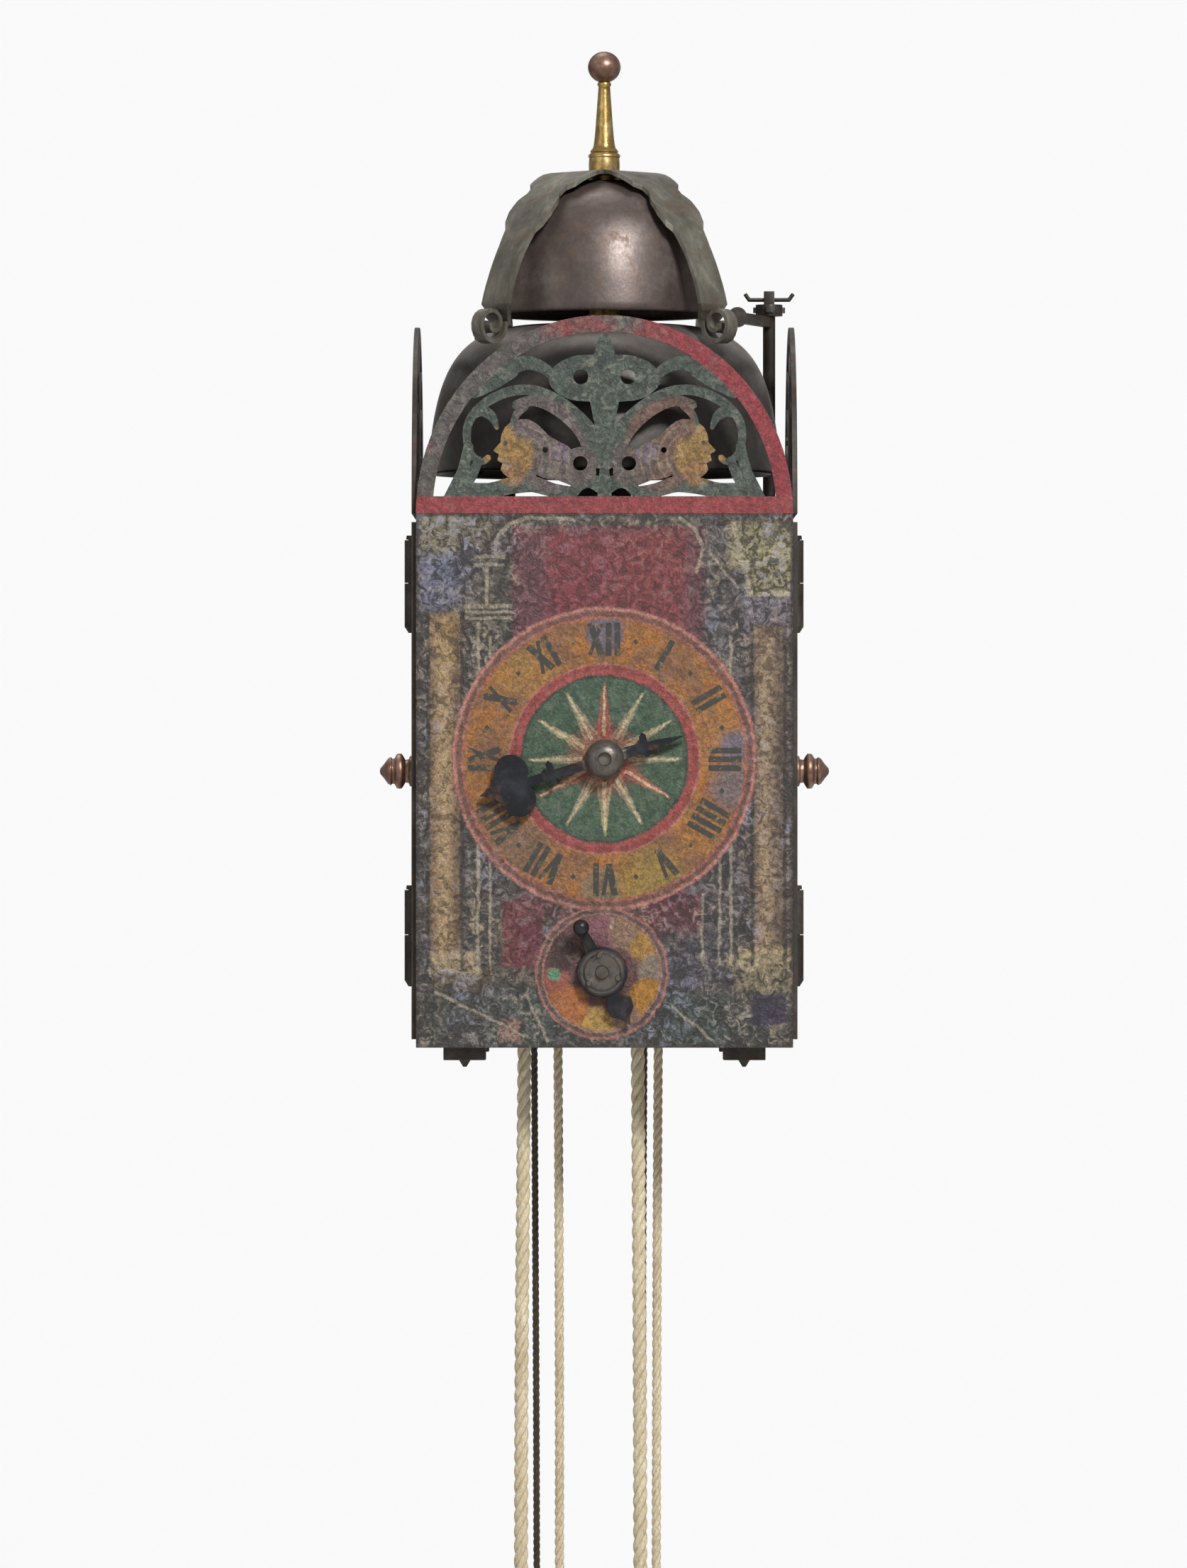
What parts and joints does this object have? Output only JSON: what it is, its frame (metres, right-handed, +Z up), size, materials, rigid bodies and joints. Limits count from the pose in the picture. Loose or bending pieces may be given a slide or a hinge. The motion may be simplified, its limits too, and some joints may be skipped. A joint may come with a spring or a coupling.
{
  "type": "wall clock",
  "caption": "Wall-hung iron posted-frame clock: painted arched front, one hour hand, small quarter dial, two bells under a strap canopy, side doors and rope-driven trains",
  "frame": {"origin": "centre of the hanging eye's hole on the wall plane, its rear face", "axes": "+Z up, +Y out of the clock's back into the wall, the dial faces -Y, +X to the right of the dial"},
  "size_m": [0.1752, 0.1752, 0.6335],
  "materials": {
    "painted_front": "old oil paint on iron, crackled",
    "dark_iron": "forged iron, browned with age",
    "bare_iron": "filed iron, dull",
    "strap_iron": "forged strap iron, grey-olive",
    "blue_iron": "blued and blackened iron",
    "bell_bronze": "bell metal, dark patina",
    "brass": "aged brass",
    "brown_bronze": "brown bronze",
    "train_brass": "dull old brass",
    "pulley_wood": "turned boxwood",
    "cream_rope": "twisted hemp rope",
    "dark_rope": "dark hemp line"
  },
  "bodies": {
    "case": {"base_plate": "dark_iron", "top_plate": "dark_iron", "corner_posts": "dark_iron", "post_nuts": "dark_iron", "front_bar": "bare_iron", "second_bar": "bare_iron", "third_bar": "bare_iron", "rear_bar": "bare_iron", "potence": "bare_iron", "dial_plate": "painted_front", "front_fret": "painted_front", "left_fret": "dark_iron", "right_fret": "dark_iron", "back_plate": "dark_iron", "hanging_bracket": "dark_iron", "wall_spurs": "dark_iron", "bell_spindle": "bare_iron", "lower_bell": "bell_bronze", "bell_spacer": "brass", "upper_bell": "bell_bronze", "bell_canopy": "strap_iron", "finial_stem": "brass", "finial_ball": "brown_bronze", "hinge_leaves": "dark_iron", "balance_cock": "bare_iron", "ropes_in_case": "cream_rope", "going_rope_left": "cream_rope", "going_rope_right": "cream_rope", "strike_rope_left": "cream_rope", "strike_rope_right": "cream_rope", "quarter_rope_left": "dark_rope", "quarter_rope_right": "dark_rope", "rope_eyes": "cream_rope"},
    "left_door": {"left_door": "dark_iron", "left_knob": "brown_bronze"},
    "right_door": {"right_door": "dark_iron", "right_knob": "brown_bronze"},
    "going_great": {"going_great_wheel": "bare_iron", "going_pulley": "pulley_wood"},
    "going_second": {"going_second_wheel": "train_brass"},
    "crown": {"crown_wheel": "train_brass"},
    "hour": {"hour_wheel": "bare_iron", "hour_hand": "blue_iron"},
    "quarter_indicator": {"quarter_pinion": "bare_iron", "quarter_hand": "blue_iron"},
    "balance": {"verge": "bare_iron", "balance_wheel": "bare_iron"},
    "strike_great": {"strike_great_wheel": "bare_iron", "strike_pulley": "pulley_wood", "strike_count_disc": "train_brass"},
    "strike_hoop": {"strike_hoop_wheel": "train_brass"},
    "strike_fly": {"strike_fly": "bare_iron"},
    "hour_hammer": {"hour_hammer": "dark_iron"},
    "quarter_great": {"quarter_great_wheel": "bare_iron", "quarter_pulley": "pulley_wood", "quarter_count_disc": "train_brass"},
    "quarter_hoop": {"quarter_hoop_wheel": "train_brass"},
    "quarter_fly": {"quarter_fly": "bare_iron"},
    "quarter_hammer": {"quarter_hammer": "dark_iron", "hammer_cotter": "dark_iron"}
  },
  "joints": [
    {"name": "left_door_hinge", "type": "hinge", "parent": "case", "child": "left_door", "pos_m": [-0.0777, -0.015, -0.127], "axis": [0, 0, -1], "range_deg": [0, 90]},
    {"name": "right_door_hinge", "type": "hinge", "parent": "case", "child": "right_door", "pos_m": [0.0777, -0.015, -0.127], "axis": [0, 0, 1], "range_deg": [0, 90]},
    {"name": "going_great_spin", "type": "hinge", "parent": "case", "child": "going_great", "pos_m": [-0.00915, -0.12, -0.177], "axis": [0, 1, 0], "continuous": true},
    {"name": "going_second_spin", "type": "hinge", "parent": "case", "child": "going_second", "pos_m": [-0.003, -0.12, -0.14356], "axis": [0, 1, 0], "continuous": true},
    {"name": "crown_spin", "type": "hinge", "parent": "case", "child": "crown", "pos_m": [0, -0.12, -0.1122], "axis": [0, 1, 0], "continuous": true},
    {"name": "hour_spin", "type": "hinge", "parent": "case", "child": "hour", "pos_m": [0, -0.155, -0.115], "axis": [0, 1, 0], "continuous": true},
    {"name": "quarter_indicator_spin", "type": "hinge", "parent": "case", "child": "quarter_indicator", "pos_m": [-0.00096, -0.155, -0.1976], "axis": [0, 1, 0], "continuous": true},
    {"name": "balance_swing", "type": "hinge", "parent": "case", "child": "balance", "pos_m": [0, -0.129, -0.077], "axis": [0, 0, 1], "range_deg": [-25, 25]},
    {"name": "strike_great_spin", "type": "hinge", "parent": "case", "child": "strike_great", "pos_m": [0.0015, -0.089, -0.177], "axis": [0, 1, 0], "continuous": true},
    {"name": "strike_hoop_spin", "type": "hinge", "parent": "case", "child": "strike_hoop", "pos_m": [0.0035, -0.089, -0.14306], "axis": [0, 1, 0], "continuous": true},
    {"name": "strike_fly_spin", "type": "hinge", "parent": "case", "child": "strike_fly", "pos_m": [-0.0035, -0.089, -0.11235], "axis": [0, 1, 0], "continuous": true},
    {"name": "hour_hammer_swing", "type": "hinge", "parent": "case", "child": "hour_hammer", "pos_m": [-0.038, -0.05, -0.107], "axis": [0, 0, 1], "range_deg": [0, 15], "stiffness_Nm_per_rad": 0.1},
    {"name": "quarter_great_spin", "type": "hinge", "parent": "case", "child": "quarter_great", "pos_m": [-0.006, -0.059, -0.177], "axis": [0, 1, 0], "continuous": true},
    {"name": "quarter_hoop_spin", "type": "hinge", "parent": "case", "child": "quarter_hoop", "pos_m": [-0.003, -0.059, -0.14313], "axis": [0, 1, 0], "continuous": true},
    {"name": "quarter_fly_spin", "type": "hinge", "parent": "case", "child": "quarter_fly", "pos_m": [0, -0.059, -0.11178], "axis": [0, 1, 0], "continuous": true},
    {"name": "quarter_hammer_swing", "type": "hinge", "parent": "case", "child": "quarter_hammer", "pos_m": [0.0663, -0.038, -0.077], "axis": [0, 0, 1], "range_deg": [0, 20], "stiffness_Nm_per_rad": 0.1}
  ],
  "couplings": [
    {"joint": "going_second_spin", "follows": "going_great_spin", "ratio": -7.5},
    {"joint": "crown_spin", "follows": "going_great_spin", "ratio": 60},
    {"joint": "hour_spin", "follows": "going_great_spin", "ratio": -0.25},
    {"joint": "quarter_indicator_spin", "follows": "going_great_spin", "ratio": -3},
    {"joint": "strike_hoop_spin", "follows": "strike_great_spin", "ratio": -7.5},
    {"joint": "strike_fly_spin", "follows": "strike_great_spin", "ratio": 60},
    {"joint": "quarter_hoop_spin", "follows": "quarter_great_spin", "ratio": -7.5},
    {"joint": "quarter_fly_spin", "follows": "quarter_great_spin", "ratio": 60}
  ]
}
